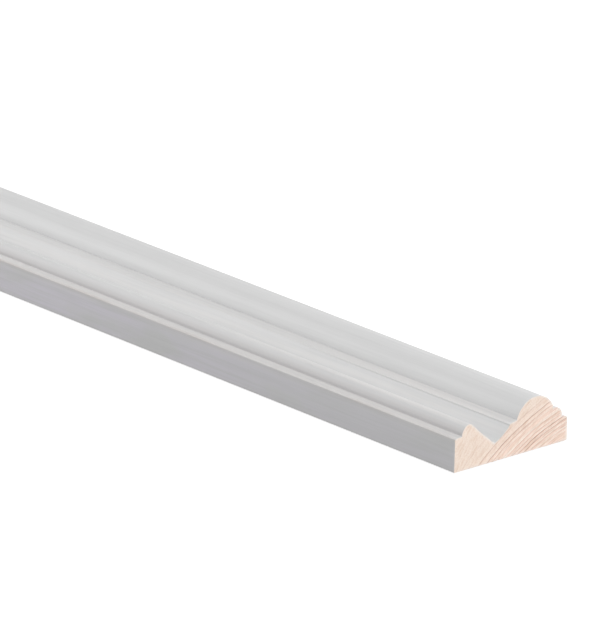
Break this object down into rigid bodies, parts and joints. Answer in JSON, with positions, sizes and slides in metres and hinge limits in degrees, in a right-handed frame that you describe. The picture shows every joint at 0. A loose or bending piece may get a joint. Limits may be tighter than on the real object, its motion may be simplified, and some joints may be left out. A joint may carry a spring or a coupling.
{
  "type": "pine decorative moulding",
  "caption": "Long white-primed pine moulding with a bead, a V hollow and a round crown on its face, a flat back and square sawn ends.",
  "frame": {"origin": "centre of the flat back, half way along the length", "axes": "+X along the length, +Y towards the thin edge, +Z out of the profiled face; the back lies on Z = 0"},
  "size_m": [2.4, 0.06, 0.022],
  "materials": {
    "primed_pine": "factory white primer on planed pine, bare end grain on the two sawn ends"
  },
  "bodies": {
    "root": {"moulding": "primed_pine"}
  },
  "joints": []
}
